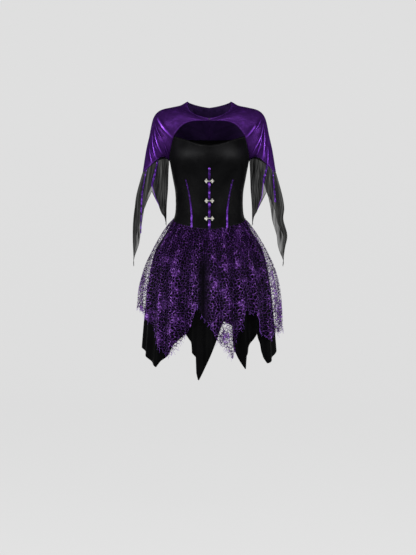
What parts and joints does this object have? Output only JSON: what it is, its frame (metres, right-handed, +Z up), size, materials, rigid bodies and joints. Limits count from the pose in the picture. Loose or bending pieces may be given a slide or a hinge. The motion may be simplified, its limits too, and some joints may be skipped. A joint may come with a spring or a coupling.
{
  "type": "witch costume dress",
  "caption": "Worn witch costume dress: purple yoke with cap sleeves and sheer falls, black bodice with clasps, pointed net skirt over satin.",
  "frame": {"origin": "middle of the neck opening, level with the neck ends of the shoulder seams", "axes": "+Z up, -Y towards the front of the dress, +X towards the wearer's left"},
  "size_m": [0.4979, 0.4237, 0.8981],
  "materials": {
    "jersey": "matt black stretch jersey",
    "foil": "shiny purple foil jersey",
    "satin": "soft black satin",
    "net": "net with a metallic purple web print",
    "chiffon": "sheer black chiffon",
    "ribbon": "shiny purple ribbon",
    "silver": "antique silver",
    "hook": "dark enamel"
  },
  "bodies": {
    "root": {"bodice_front": "jersey", "bodice_back": "jersey", "yoke_front_left": "foil", "yoke_front_right": "foil", "yoke_back_left": "foil", "yoke_back_right": "foil", "underskirt_front": "satin", "underskirt_back": "satin", "net_skirt_front": "net", "net_skirt_back": "net", "ribbon_centre": "ribbon", "ribbon_dart_left": "ribbon", "ribbon_dart_right": "ribbon", "neck_hook": "hook", "gore_inner_left": "chiffon", "gore_outer_left": "chiffon", "gore_back_left": "chiffon", "ribbon_sleeve_front_left": "ribbon", "ribbon_sleeve_outer_left": "ribbon", "clasp_upper_left": "silver", "clasp_middle_left": "silver", "clasp_lower_left": "silver", "gore_inner_right": "chiffon", "gore_outer_right": "chiffon", "gore_back_right": "chiffon", "ribbon_sleeve_front_right": "ribbon", "ribbon_sleeve_outer_right": "ribbon", "clasp_upper_right": "silver", "clasp_middle_right": "silver", "clasp_lower_right": "silver"}
  },
  "joints": []
}
